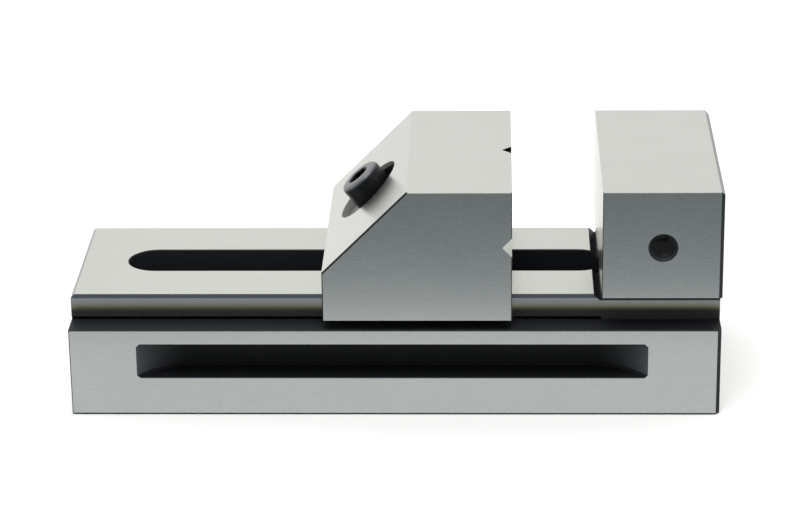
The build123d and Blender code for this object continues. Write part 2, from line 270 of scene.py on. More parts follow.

# Surfaces that take the scale's colour: those milled before hardening and never ground, and two
# painted shades: the fixed jaw's shadow painted on the strip below its overhang, and a painted
# contact shadow along the bed's lower edge
BODY_SCALE_AND_SHADE = (
    Box((-81.6, -16.7, -1.0), (66.5, 16.7, 34.38)),
    SIDE_GROOVE,
    Box((-94.95, 28.04, 26.48), (94.95, 36.6, 26.9), both_sides=True),
    Box((60.3, 28.04, 36.5), (94.9, 36.2, 36.7), both_sides=True),
    Box((58.26, -27.9, 32.4), (62.2, 27.9, 36.42)),
    # Painted shadow of the fixed jaw's overhang on the strip below it, in the scale's colour
    Box((60.3, 27.9, 32.75), (94.9, 28.06, 36.5), both_sides=True),
    # Painted contact shadow along the bed's lower edge: its two sides, then its two ends
    Box((-95.2, 36.0, -0.1), (95.2, 36.6, 0.55), both_sides=True),
    Box((-95.2, -36.6, -0.1), (-94.6, 36.6, 0.55)),
    Box((94.6, -36.6, -0.1), (95.2, 36.6, 0.55)),
    TAPPED_HOLE,
)

# Where edges are worn lighter
BODY_WORN_EDGES = (Box((59.0, -37.0, 69.0), (93.8, 37.0, 69.6)),)
JAW_WORN_EDGES = (
    Box((4.2, -37.0, 69.0), (35.0, 37.0, 69.6)),
    Box((33.9, -37.0, 29.0), (35.0, 37.0, 69.6)),
)

# The body's two ends, where the chamfers along the top were filed by hand
BODY_ENDS = (
    Box((-95.2, -37.0, 33.4), (-94.0, 37.0, 34.5)),
    Box((93.8, -37.0, 68.2), (95.2, 37.0, 69.5)),
)

# The rail's sides, ground steel painted from light at the top through brown to near black towards
# the ledge, a painted reflection of the ledge and the floor: where they stand, the heights that
# this painted reflection and the scale at their foot run over, and its colours
RAIL_SIDES = Box((-94.95, 27.9, 26.8), (94.95, 28.06, 36.6), both_sides=True)
RAIL_REFLECTION_SPAN = (26.8, 33.45)
SCALE_FADE = (28.8, 30.8)
RAIL_PAINTED_REFLECTION = (
    (0.12, "#1d1e1f"),
    (0.4, "#48453c"),
    (0.55, "#837e66"),
    (0.75, "#9a988d"),
    (1.0, "#a2a4a8"),
)

# The counterbore in the jaw's slope and the bore below it. No place in the bore measures more
# than BORE_TOP from the origin along the counterbore's way out
COUNTERBORE = Pocket((-8.35, 0.0, 57.05), (-DIAGONAL, 0.0, DIAGONAL), 11.4, 0.05, 3.5)
JAW_BORE = Box((-20.6, -9.9, 34.5), (31.4, 9.9, 68.9))
BORE_TOP = 42.3

# The screw head's painted shadow in the counterbore: the way up the slope, and the spans over
# which the painted shadow starts, up that way from the mouth's middle and along the way out
UP_SLOPE = (DIAGONAL, 0.0, DIAGONAL)
SHADOW_CLIMB = (1.0, 4.0)
SHADOW_DEPTH = (-1.0, -1.5)

# The screw's hexagon socket, black with painted shade inside this radius and between these
# depths, and the depths over which the painted highlight on the head's rim fades out
SOCKET_RADIUS = 3.5
SOCKET_DEPTHS = (0.12, 7.0)
RIM_HIGHLIGHT_FADE = (0.1, 1.5)


# Finishes


class Graph:
    """The nodes of one material or world, with a short way to add each kind used here."""

    def __init__(self, owner: bpy.types.ID) -> None:
        """Empty the tree of a material or a world."""
        owner.use_nodes = True
        self.tree: Tree = owner.node_tree
        self.tree.nodes.clear()

    @cached_property
    def place(self) -> Socket:
        """The place on the object in metres."""
        return add_node(self.tree, "ShaderNodeTexCoord").outputs["Object"]

    @cached_property
    def in_mm(self) -> Socket:
        """The place on the object in millimetres."""
        scale = {0: self.place, "Scale": 1 / MM}
        return add_node(self.tree, "ShaderNodeVectorMath", {"operation": "SCALE"}, scale).outputs[0]

    @cached_property
    def normal(self) -> Socket:
        """The way that the surface faces."""
        return add_node(self.tree, "ShaderNodeTexCoord").outputs["Normal"]

    def number(self, operation: str, *values: Any) -> Socket:
        """Add a sum of numbers or sockets."""
        return calculate(self.tree, operation, *values)

    def vector(self, operation: str, *values: Any) -> Socket:
        """Add a sum of vectors or sockets, and give its vector, or its number if it has one."""
        settings = {"operation": operation}
        node = add_node(self.tree, "ShaderNodeVectorMath", settings, dict(enumerate(values)))
        return node.outputs["Value" if operation in NUMBER_SUMS else "Vector"]

    def drawn(self, width: float, squeeze: float) -> Socket:
        """The place counted in streaks along X, by their width and their width over length."""
        return self.vector("MULTIPLY", self.in_mm, (squeeze / width, 1 / width, 1 / width))

    def part(self, vector: Socket, axis: int) -> Socket:
        """One part of a vector: 0 is X, 1 is Y and 2 is Z."""
        return add_node(self.tree, "ShaderNodeSeparateXYZ", inputs={0: vector}).outputs[axis]

    def reach(self, vector: Socket, axis: int) -> Socket:
        """The size of one part of a vector, whichever way it points."""
        return self.number("ABSOLUTE", self.part(vector, axis))

    def mix(self, share: Any, first: Any, second: Any) -> Socket:
        """Mix two colours.

        Args:
            share: How much of the second there is, as a number or a socket.
            first: A hex colour or a socket.
            second: A hex colour or a socket.

        Returns:
            The colour's socket.
        """
        sides = [linear(side) if isinstance(side, str) else side for side in (first, second)]
        inputs = {0: share, 6: sides[0], 7: sides[1]}
        return add_node(self.tree, "ShaderNodeMix", {"data_type": "RGBA"}, inputs).outputs[2]

    def blend(self, share: Any, first: Any, second: Any) -> Socket:
        """Mix two numbers or sockets, as mix does colours."""
        inputs = {0: share, 2: first, 3: second}
        return add_node(self.tree, "ShaderNodeMix", {"data_type": "FLOAT"}, inputs).outputs[0]

    def spread(
        self, value: Socket, given: Span, wanted: Span = RISING, **settings: Any
    ) -> Socket:
        """Stretch one span of numbers over another.

        Args:
            value: The number's socket.
            given: The span that it comes from.
            wanted: The span that it goes to.
            settings: The Map Range node's own properties.

        Returns:
            The stretched number's socket.
        """
        inputs = dict(enumerate((value, *given, *wanted)))
        return add_node(self.tree, "ShaderNodeMapRange", settings, inputs).outputs[0]

    def ease(self, value: Socket, given: Span, wanted: Span = RISING) -> Socket:
        """Stretch a span with soft ends, as spread does."""
        return self.spread(value, given, wanted, interpolation_type="SMOOTHSTEP")

    def noise(
        self, place: Socket, size: float, detail: float = 2.0, roughness: float = 0.5
    ) -> Socket:
        """Add a noise texture and give its value.

        Args:
            place: Where it is read.
            size: How large its spots are, in the units of the place.
            detail: How many finer noises lie on it.
            roughness: How much the finer ones count.

        Returns:
            The value's socket.
        """
        inputs = {"Vector": place, "Scale": 1 / size, "Detail": detail, "Roughness": roughness}
        settings = {"noise_dimensions": "3D"}
        return add_node(self.tree, "ShaderNodeTexNoise", settings, inputs).outputs[0]

    def ramp(self, value: Socket, stops: Sequence[tuple[float, str]]) -> Socket:
        """Turn a number into a colour.

        Args:
            value: The number's socket.
            stops: Places from 0 to 1 in rising order, each with its hex colour.

        Returns:
            The colour's socket.
        """
        node = add_node(self.tree, "ShaderNodeValToRGB", inputs={0: value})
        elements = node.color_ramp.elements
        for element, (position, shade) in zip(elements, (stops[0], stops[-1])):
            element.position = position
            element.color = linear(shade)
        for position, shade in stops[1:-1]:
            elements.new(position).color = linear(shade)
        return node.outputs[0]

    def both(self, first: Socket, second: Socket) -> Socket:
        """Join masks, so that only a place in both of them counts."""
        return self.number("MULTIPLY", first, second)

    def any_of(self, masks: Sequence[Socket]) -> Socket:
        """Join masks, so that a place in any one of them counts."""
        joined = masks[0]
        for mask in masks[1:]:
            joined = self.number("MAXIMUM", joined, mask)
        return joined

    def between(self, value: Socket, low: float, high: float) -> Socket:
        """Mask the values from low to high."""
        half = (high - low) / 2
        return self.number("COMPARE", value, low + half, half)

    def inside(self, box: Box) -> Socket:
        """Mask a box. With both_sides set it also stands mirrored across the middle plane.

        Args:
            box: The box.

        Returns:
            The mask's socket, 1 inside the box and 0 outside.
        """
        place = self.in_mm
        if box.both_sides:
            parts = {axis: self.part(place, axis) for axis in (0, 1, 2)}
            parts[1] = self.number("ABSOLUTE", parts[1])
            place = add_node(self.tree, "ShaderNodeCombineXYZ", inputs=parts).outputs[0]
        away = self.vector("ABSOLUTE", self.vector("SUBTRACT", place, box.middle))
        over = self.vector("SUBTRACT", away, box.half)
        worst = self.any_of([self.part(over, axis) for axis in (0, 1, 2)])
        return self.number("LESS_THAN", worst, 0.0)

    def round_line(self, point: Sequence[float], way: Sequence[float]) -> tuple[Socket, Socket]:
        """Measure the place from a line, in millimetres.

        Args:
            point: A point on the line.
            way: The unit vector along it.

        Returns:
            The distance from the line, and the distance along it from the point.
        """
        away = self.vector("SUBTRACT", self.in_mm, tuple(point))
        radius = self.vector("LENGTH", self.vector("CROSS_PRODUCT", away, tuple(way)))
        return radius, self.vector("DOT_PRODUCT", away, tuple(way))

    def seen(self) -> Socket:
        """Give 1 to rays from the camera, off gloss or through glass, and 0 to the rest."""
        path = add_node(self.tree, "ShaderNodeLightPath")
        kinds = ("Camera", "Glossy", "Transmission")
        return self.any_of([path.outputs[f"Is {kind} Ray"] for kind in kinds])

    def close(self, kind: str, inputs: dict[str, Any], end: str = "Material") -> None:
        """End the tree with its shader.

        Args:
            kind: The shader's name, without ShaderNode before it.
            inputs: The shader's values and sockets by name.
            end: What the tree belongs to, Material or World.
        """
        shader = add_node(self.tree, f"ShaderNode{kind}", inputs=inputs)
        add_node(self.tree, f"ShaderNodeOutput{end}", inputs={"Surface": shader})


@dataclass(frozen=True)
class Finish:
    """A finish: one procedural material named for what it is and how it was made."""

    name: str
    light: str
    deep: str
    roughness: float
    roughness_swing: Span = (-0.05, 0.05)
    bump_strength: float = 0.0
    bump_depth: float = 0.0

    def make(self) -> Material:
        """Build the material."""
        material = bpy.data.materials.new(self.name)
        self._lay(Graph(material))
        return material

    def _lay(self, graph: Graph) -> None:
        """Add the material's nodes. Each kind of finish has its own way."""
        raise NotImplementedError

    def _rough(self, graph: Graph, tone: Socket, given: Span = NOISE_SPAN) -> Socket:
        """Let the roughness swing with a tone whose values span a range."""
        low, high = self.roughness_swing
        return graph.spread(tone, given, (self.roughness + low, self.roughness + high))

    def _cover(self, graph: Graph, tone: Socket, inputs: dict[str, Any]) -> None:
        """End the material with its shader, and raise a tone as bump if the finish has any.

        Args:
            graph: The material's nodes.
            tone: The tone's socket.
            inputs: The shader's other inputs.
        """
        relief = {"Strength": self.bump_strength, "Distance": self.bump_depth * MM, "Height": tone}
        if self.bump_strength:
            inputs["Normal"] = add_node(graph.tree, "ShaderNodeBump", inputs=relief)
        graph.close("BsdfPrincipled", inputs)

    def _bare(self, graph: Graph, tone: Socket) -> None:
        """End the material with bare metal, deep to light as the tone rises."""
        colour, rough = graph.mix(tone, self.deep, self.light), self._rough(graph, tone)
        self._cover(graph, tone, {"Base Color": colour, "Metallic": 1.0, "Roughness": rough})


@dataclass(frozen=True)
class GroundSteel(Finish):
    """Hardened tool steel, surface ground along the bed.

    The wheel leaves fine lines and a soft mottle that scatter the light, so the faces read
    satin. Milled recesses and edges keep the black scale of the hardening.
    """

    light: str = "#cfd1ca"
    deep: str = "#c0c2bb"
    scale: str = "#1e2023"
    foot_scale: str = "#2b2c2e"
    # The next two: the scale painted blacker deep in the side grooves as painted shade, and a
    # painted reflection on the grooves' walls towards the mouth
    groove_scale_and_shade: str = "#16181a"
    painted_groove_glare: str = "#4a4d51"
    tapped: str = "#929496"
    edge: str = "#24272b"
    worn_edge: str = "#70716d"
    end_edge: str = "#5e5f61"
    milled_shade: str = "#a2a29c"
    # Painted shadow of the screw's head, black in the counterbore above the head
    painted_head_shadow: str = "#1c1d1e"
    roughness: float = 0.27
    roughness_swing: Span = (-0.03, 0.03)
    scale_roughness: float = 0.5
    scale_gloss: float = 0.2
    bump_strength: float = 0.08
    bump_depth: float = 0.01
    line_width: float = 0.35
    line_squeeze: float = 0.01
    grain: float = 0.6
    grain_squeeze: float = 0.15
    grain_roughness: float = 0.6
    cloud: float = 24.0
    cloud_share: float = 0.3
    edge_slack: float = 0.12
    end_slack: float = 0.2
    upright_under: float = 0.4
    recesses: tuple[Box, ...] = ()
    worn_edges: tuple[Box, ...] = ()
    ends: tuple[Box, ...] = ()
    # The rail's sides, which take the painted reflection and the scale at their foot
    rail_flanks: Optional[Box] = None
    groove: Optional[Box] = None
    bore: Optional[Box] = None
    milled: Optional[Pocket] = None

    def _lay(self, graph: Graph) -> None:
        """Lay ground steel, and over it its edges, its scale, painted shade and reflection, and its
        milled pocket.
        """
        grit = self._grit(graph)
        steel = graph.mix(grit, self.deep, self.light)
        masks = [graph.inside(box) for box in self.recesses]
        if self.rail_flanks:
            # Painted reflection of the ledge and the floor on the rail's sides
            height = graph.spread(graph.part(graph.in_mm, 2), RAIL_REFLECTION_SPAN)
            steel = graph.mix(graph.inside(self.rail_flanks), steel, graph.ramp(height, RAIL_PAINTED_REFLECTION))
            masks.append(self._foot_mask(graph))
        if self.ends:
            steel = self._file_ends(graph, steel)
        if self.bore:
            masks.append(self._bore_mask(graph))
        # The scale together with the painted shade that wears its colour
        scaled_and_shaded = skin = graph.any_of(masks)
        colour = graph.mix(scaled_and_shaded, self._edges(graph, steel), self._scale_and_shade_colour(graph))
        if self.milled:
            radius, rise = graph.round_line(self.milled.mouth, self.milled.out)
            within = graph.number("LESS_THAN", radius, self.milled.radius)
            sunk = graph.between(rise, -self.milled.deep, -self.milled.shallow)
            pocket = graph.both(within, sunk)
            colour = graph.mix(pocket, colour, self._pocket_shade(graph, rise))
            skin = graph.any_of([scaled_and_shaded, pocket])
        rough = self._rough(graph, grit, RISING)
        inputs = {
            "Base Color": colour,
            "Metallic": graph.number("SUBTRACT", 1.0, skin),
            "Roughness": graph.blend(scaled_and_shaded, rough, self.scale_roughness),
            "Specular IOR Level": self.scale_gloss,
        }
        self._cover(graph, grit, inputs)

    def _grit(self, graph: Graph) -> Socket:
        """What the wheel leaves: faint lines on top faces, a fine mottle on the sides."""
        # Real grinding lines are under 0.1 mm apart; they're drawn wider so that they show
        lines = graph.noise(graph.drawn(self.line_width, self.line_squeeze), 1.0)
        # The grit's own mottle, longer along the bed than across it
        grains = graph.drawn(self.grain, self.grain_squeeze)
        mottle = graph.noise(grains, 1.0, roughness=self.grain_roughness)
        # Broad cloudy patches where the wheel dressed the face unevenly
        clouds = graph.noise(graph.in_mm, self.cloud, detail=1.0)
        line_tone = graph.spread(lines, RISING, LINE_TONES, clamp=False)
        mottle_tone = graph.spread(mottle, RISING, MOTTLE_TONES, clamp=False)
        fine = graph.blend(graph.reach(graph.normal, 1), line_tone, mottle_tone)
        return graph.blend(self.cloud_share, fine, clouds)

    def _file_ends(self, graph: Graph, steel: Socket) -> Socket:
        """Grey the hand filed chamfers, which lean along the bed at its ends."""
        up = graph.part(graph.normal, 2)
        slanted = graph.number("COMPARE", up, DIAGONAL, self.end_slack)
        near_end = graph.any_of([graph.inside(box) for box in self.ends])
        return graph.mix(graph.both(slanted, near_end), steel, self.end_edge)

    def _scale_and_shade_colour(self, graph: Graph) -> Any:
        """The scale's colour, as mix takes it, with painted shade and reflection in the side
        grooves.
        """
        if not (self.groove and self.rail_flanks):
            return self.scale
        foot = graph.mix(graph.inside(self.rail_flanks), self.scale, self.foot_scale)
        reach = graph.reach(graph.in_mm, 1)
        # Painted reflection on the grooves' upright walls towards the mouth, with painted shade
        # black deeper in
        glare = graph.spread(reach, GROOVE_GLARE)
        level = graph.reach(graph.normal, 2)
        upright = graph.number("LESS_THAN", level, self.upright_under)
        floor = graph.mix(graph.both(glare, upright), self.groove_scale_and_shade, self.painted_groove_glare)
        mixed = graph.mix(graph.inside(self.groove), foot, floor)
        hole = graph.both(graph.ease(reach, TAPPED_FADE, FALLING), graph.inside(TAPPED_HOLE))
        return graph.mix(hole, mixed, self.tapped)

    def _foot_mask(self, graph: Graph) -> Socket:
        """Mask the foot of the rail's sides, where the scale fades out upwards."""
        fade = graph.ease(graph.part(graph.in_mm, 2), SCALE_FADE, FALLING)
        return graph.both(fade, graph.inside(self.rail_flanks))

    def _pocket_shade(self, graph: Graph, rise: Socket) -> Socket:
        """The milled pocket's colour: grey, with the head's shadow painted black above the head."""
        climb = graph.round_line(self.milled.mouth, UP_SLOPE)[1]
        shadowed = graph.both(graph.ease(climb, SHADOW_CLIMB), graph.ease(rise, SHADOW_DEPTH))
        return graph.mix(shadowed, self.milled_shade, self.painted_head_shadow)

    def _bore_mask(self, graph: Graph) -> Socket:
        """Mask the jaw's inner bore, which lies deeper than the counterbore's floor."""
        height = graph.vector("DOT_PRODUCT", graph.in_mm, COUNTERBORE.out)
        return graph.both(graph.number("LESS_THAN", height, BORE_TOP), graph.inside(self.bore))

    def _edges(self, graph: Graph, steel: Socket) -> Socket:
        """Colour the milled chamfers, which lean across the bed: dark, or worn in places."""
        lean = graph.reach(graph.normal, 1)
        slanted = graph.number("COMPARE", lean, DIAGONAL, self.edge_slack)
        worn = graph.any_of([graph.inside(box) for box in self.worn_edges])
        return graph.mix(slanted, steel, graph.mix(worn, self.edge, self.worn_edge))


@dataclass(frozen=True)
class BlackOxide(Finish):
    """Black oxide on forged and rolled steel: a thin dark skin, satin, lighter where handled."""

    light: str = "#25272a"
    deep: str = "#151618"
    # A painted highlight on the head's rim, and painted shade inside its socket
    rim: str = "#737578"
    socket: str = "#050505"
    roughness: float = 0.36
    roughness_swing: Span = (-0.05, 0.08)
    metallic: float = 0.6
    bump_strength: float = 0.15
    bump_depth: float = 0.02
    grain: float = 0.6
    grain_detail: float = 3.0
    grain_roughness: float = 0.6
    worn_span: Span = (0.42, 0.8)
    screw: bool = False

    def _lay(self, graph: Graph) -> None:
        """Lay black oxide with a faint grain."""
        grain = graph.noise(graph.in_mm, self.grain, self.grain_detail, self.grain_roughness)
        colour = graph.mix(graph.spread(grain, self.worn_span), self.deep, self.light)
        if self.screw:
            colour = self._paint_head_light_and_shade(graph, colour)
        rough = self._rough(graph, grain)
        inputs = {"Base Color": colour, "Metallic": self.metallic, "Roughness": rough}
        self._cover(graph, grain, inputs)

    def _paint_head_light_and_shade(self, graph: Graph, oxide: Socket) -> Socket:
        """Paint a highlight on the head's rim, and paint its socket black with painted shade."""
        radius, depth = graph.round_line(ScrewAxis().centre, ScrewAxis().down)
        within = graph.number("LESS_THAN", radius, SOCKET_RADIUS)
        sunk = graph.between(depth, *SOCKET_DEPTHS)
        rim_highlighted = graph.mix(graph.ease(depth, RIM_HIGHLIGHT_FADE, FALLING), oxide, self.rim)
        return graph.mix(graph.both(within, sunk), rim_highlighted, self.socket)


@dataclass(frozen=True)
class TurnedSteel(Finish):
    """Steel turned in a lathe and hardened: close rings round the screw's axis, dull grey."""

    light: str = "#7d7f80"
    deep: str = "#6f7274"
    roughness: float = 0.32
    roughness_swing: Span = (-0.06, 0.08)
    bump_strength: float = 0.2
    bump_depth: float = 0.02
    ring: float = 0.4

    def _lay(self, graph: Graph) -> None:
        """Lay turned steel, its rings centred on the screw's axis."""
        # Real turning rings are finer than a pixel; these are drawn wide enough to show
        spots = dict(enumerate(graph.round_line(ScrewAxis().centre, ScrewAxis().down)))
        rings = add_node(graph.tree, "ShaderNodeCombineXYZ", inputs=spots).outputs[0]
        self._bare(graph, graph.noise(rings, self.ring))


@dataclass(frozen=True)
class DrawnWire(Finish):
    """Spring wire: cold drawn and oil tempered, smooth and dark grey with a bluish cast."""

    light: str = "#7d8288"
    deep: str = "#565b62"
    roughness: float = 0.28
    streak: float = 0.3

    def _lay(self, graph: Graph) -> None:
        """Lay drawn wire with faint streaks."""
        self._bare(graph, graph.noise(graph.in_mm, self.streak, detail=1.0))


# Geometry Nodes


@dataclass
class Rule:
    """A Geometry Nodes tree, run once and turned into a plain mesh.

    Its named inputs are Steps, the rule's own numbers, and the Finish that the mesh wears.
    """

    name: str
    build: Callable[[Tree, Node], Node]
    numbers: Sequence[str]

    def tree(self) -> Tree:
        """Build the tree, with its named inputs."""
        made = bpy.data.node_groups.new(self.name, "GeometryNodeTree")
        numbers = [(label, "Float") for label in self.numbers]
        wanted = [("Geometry", "Geometry"), ("Steps", "Int"), *numbers, ("Finish", "Material")]
        for label, kind in wanted:
            made.interface.new_socket(label, in_out="INPUT", socket_type=f"NodeSocket{kind}")
        made.interface.new_socket("Geometry", in_out="OUTPUT", socket_type="NodeSocketGeometry")
        source = add_node(made, "NodeGroupInput")
        built = self.build(made, source)
        real = add_node(made, "GeometryNodeRealizeInstances", inputs={0: built})
        inputs = {"Geometry": real, "Material": source.outputs["Finish"]}
        dressed = add_node(made, "GeometryNodeSetMaterial", inputs=inputs)
        add_node(made, "NodeGroupOutput", inputs={0: dressed})
        return made

    def run(self, target: Object, plain: dict[str, Any], sizes: dict[str, float]) -> None:
        """Run the tree on an object and give it the mesh that comes out.

        Args:
            target: The object that the tree starts from.
            plain: What the named inputs get that aren't lengths.
            sizes: What the lengths get, in millimetres.
        """
        values = {**plain, **{name: size * MM for name, size in sizes.items()}}
        modifier = target.modifiers.new(self.name, "NODES")
        modifier.node_group = self.tree()
        for item in modifier.node_group.interface.items_tree:
            if item.item_type == "SOCKET" and item.in_out == "INPUT" and item.name in values:
                modifier[item.identifier] = values[item.name]
        bpy.context.view_layer.update()
        shown = target.evaluated_get(bpy.context.evaluated_depsgraph_get())
        mesh = bpy.data.meshes.new_from_object(shown)
        target.modifiers.remove(modifier)
        mesh.name = target.name
        target.data = mesh
        LOG.info("%s has %d faces", target.name, len(mesh.polygons))


def sweep(tree: Tree, path: Node, sides: int, radius: Socket) -> Node:
    """Sweep a section of equal sides along a path.

    Args:
        tree: The rule's tree.
        path: The node that gives the path.
        sides: How many sides the section has.
        radius: The section's radius.

    Returns:
        The node that gives the closed mesh.
    """
    ring = {"Resolution": sides, "Radius": radius}
    section = add_node(tree, "GeometryNodeCurvePrimitiveCircle", {"mode": "RADIUS"}, ring)
    inputs = {"Curve": path, "Profile Curve": section, "Fill Caps": True}
    return add_node(tree, "GeometryNodeCurveToMesh", inputs=inputs)


def build_thread(tree: Tree, source: Node) -> Node:
    """Wind a ridge of diamond section round Z and join it to what comes in."""
    get = source.outputs
    ridge = add_node(
        tree,
        "GeometryNodeCurveSpiral",
        inputs={
            "Resolution": get["Steps"],
            "Rotations": get["Turns"],
            "Start Radius": get["Radius"],
            "End Radius": get["Radius"],
            "Height": get["Length"],
        },
    )
    upright = add_node(tree, "GeometryNodeSetCurveNormal", {"mode": "Z_UP"}, {"Curve": ridge})
    raised = add_node(tree, "ShaderNodeCombineXYZ", inputs={2: get["Start"]})
    shifted = {"Geometry": upright, "Offset": raised}
    placed = add_node(tree, "GeometryNodeSetPosition", inputs=shifted)
    faceted = {"Geometry": sweep(tree, placed, RIDGE_SIDES, get["Ridge"]), "Shade Smooth": False}
    flat = add_node(tree, "GeometryNodeSetShadeSmooth", inputs=faceted)
    joined = add_node(tree, "GeometryNodeJoinGeometry")
    for piece in (flat.outputs[0], get["Geometry"]):
        tree.links.new(piece, joined.inputs[0])
    return joined


def build_coil(tree: Tree, source: Node) -> Node:
    """Wind a compression spring down Z, its end coils closed."""
    get = source.outputs
    ends = {"Start": (0, 0, 0), "End": (0, 0, 1)}
    line = add_node(tree, "GeometryNodeCurvePrimitiveLine", {"mode": "POINTS"}, ends)
    cut = {"Curve": line, "Count": get["Steps"]}
    steps = add_node(tree, "GeometryNodeResampleCurve", {"mode": "COUNT"}, cut)
    share = add_node(tree, "GeometryNodeSplineParameter").outputs["Factor"]
    turn = calculate(tree, "MULTIPLY", share, get["Coils"])
    angle = calculate(tree, "MULTIPLY", turn, math.tau)
    x, y = (
        calculate(tree, "MULTIPLY", calculate(tree, operation, angle), get["Radius"])
        for operation in ("COSINE", "SINE")
    )
    past = calculate(tree, "SUBTRACT", turn, get["Closed Coils"])
    limits = {0: past, 1: 0.0, 2: get["Open Coils"]}
    opened = add_node(tree, "ShaderNodeClamp", inputs=limits).outputs[0]
    shut = calculate(tree, "SUBTRACT", turn, opened)
    open_fall = calculate(tree, "MULTIPLY", opened, get["Open Pitch"])
    fall = calculate(tree, "MULTIPLY_ADD", shut, get["Closed Pitch"], open_fall)
    z = calculate(tree, "ADD", fall, get["Start"])
    point = add_node(tree, "ShaderNodeCombineXYZ", inputs={0: x, 1: y, 2: z})
    moved = {"Geometry": steps, "Position": point}
    wound = add_node(tree, "GeometryNodeSetPosition", inputs=moved)
    upright = add_node(tree, "GeometryNodeSetCurveNormal", {"mode": "Z_UP"}, {"Curve": wound})
    return sweep(tree, upright, WIRE_SIDES, get["Wire Radius"])


THREAD = Rule("thread", build_thread, ("Turns", "Radius", "Length", "Start", "Ridge"))
COIL_COUNTS = ("Coils", "Closed Coils", "Open Coils")
COIL_SIZES = ("Closed Pitch", "Open Pitch", "Start", "Radius", "Wire Radius")
COIL = Rule("coil", build_coil, COIL_COUNTS + COIL_SIZES)


# Sub-assemblies


def dress(node_name: str, material: Material) -> None:
    """Give a carried-over node of the model a finish.

    Args:
        node_name: The node's name in the model.
        material: Its finish.
    """
    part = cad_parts[node_name]
    part.data.materials.clear()
    part.data.materials.append(material)
    LOG.info("%s wears %s", node_name, material.name)


@dataclass
class Bed:
    """The body: bed, rail and fixed jaw in one ground block, with a tapped hole in each side."""

    hole_x: float = 77.6
    hole_z: float = 52.4
    side: float = 36.5
    hole_radius: float = 3.4
    ridge_off: float = 0.04
    thread_start: float = 1.1
    thread_length: float = 13.0
    thread_steps: int = 32
    pitch: float = 1.25
    ridge: float = 0.34

    def make(self) -> None:
        """Dress the body and cut the threads into its work stop holes."""
        steel = GroundSteel(
            "tool_steel_ground_bed",
            recesses=BODY_SCALE_AND_SHADE,
            worn_edges=BODY_WORN_EDGES,
            ends=BODY_ENDS,
            rail_flanks=RAIL_SIDES,
            groove=SIDE_GROOVE,
        ).make()
        dress("body", steel)
        for name, way in (("near", -1), ("far", 1)):
            self._thread(f"stop_hole_thread_{name}", way, steel)

    def _thread(self, name: str, way: int, material: Material) -> None:
        """Wind one hole's thread from its mouth inwards.

        Args:
            name: The piece's name.
            way: -1 for the near side, 1 for the far side.
            material: The thread's finish.
        """
        made = mesh_object(name)
        turns = self.thread_length / self.pitch
        THREAD.run(
            made,
            {"Steps": self.thread_steps, "Turns": turns, "Finish": material},
            {
                "Radius": self.hole_radius + self.ridge_off,
                "Length": self.thread_length,
                "Start": self.thread_start,
                "Ridge": self.ridge,
            },
        )
        mouth = Vector((self.hole_x, way * self.side, self.hole_z)) * MM
        inwards = Vector((0, -way, 0))
        across = Vector((1, 0, 0))
        turn = Matrix((across, inwards.cross(across), inwards)).transposed().to_4x4()
        made.data.transform(Matrix.Translation(mouth) @ turn)
        outward(made.data)
        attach(made, Body.BED.value)


@dataclass
class MovableJaw:
    """The sliding jaw with its sloping back, its counterbore and its vees."""

    edge: str = "#2a2d2e"

    def make(self) -> None:
        """Dress the jaw."""
        steel = GroundSteel(
            "tool_steel_ground_jaw",
            edge=self.edge,
            worn_edges=JAW_WORN_EDGES,
            bore=JAW_BORE,
            milled=COUNTERBORE,
        ).make()
        dress("movable_jaw", steel)


